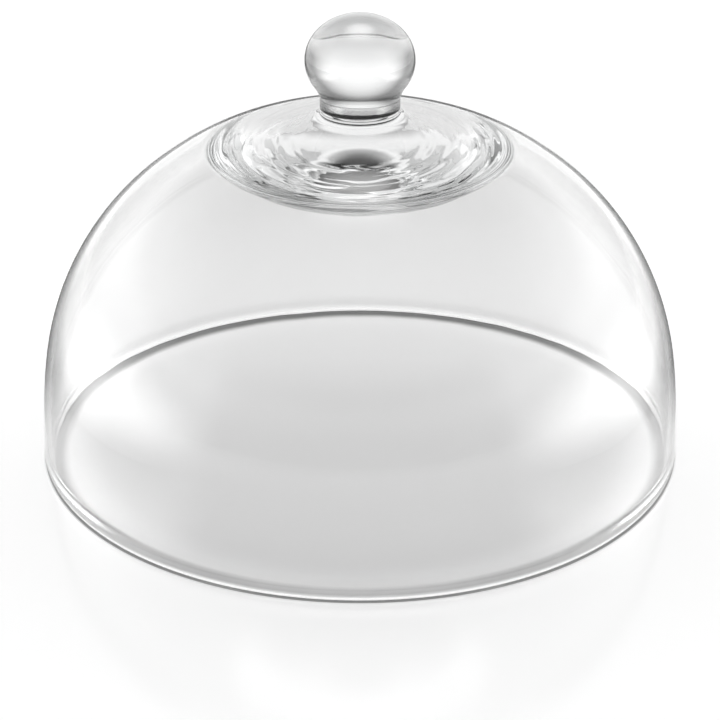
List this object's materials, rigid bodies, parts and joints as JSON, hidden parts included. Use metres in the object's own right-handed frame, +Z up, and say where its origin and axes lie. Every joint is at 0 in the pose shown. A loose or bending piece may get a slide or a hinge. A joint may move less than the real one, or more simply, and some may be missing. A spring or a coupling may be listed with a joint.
{
  "type": "glass cloche",
  "caption": "Clear glass cloche: a wide low dome with a rounded lip, a heavy crown and a flattened ball knob bonded on top, lifted by hand to cover and show food.",
  "frame": {"origin": "on the dome's axis, at the height of the table that the lip rests on", "axes": "+Z up along the dome's axis, from the table to the knob; +X and +Y are alike, because the object is round"},
  "size_m": [0.2808, 0.2808, 0.1909],
  "materials": {
    "dome_glass": "clear, fire-polished, blown",
    "knob_glass": "clear, fire-polished, pressed solid",
    "clear_adhesive": "clear cured adhesive with an uneven edge"
  },
  "bodies": {
    "root": {"glass_dome": "dome_glass", "knob": "knob_glass", "bond_film": "clear_adhesive"}
  },
  "joints": []
}
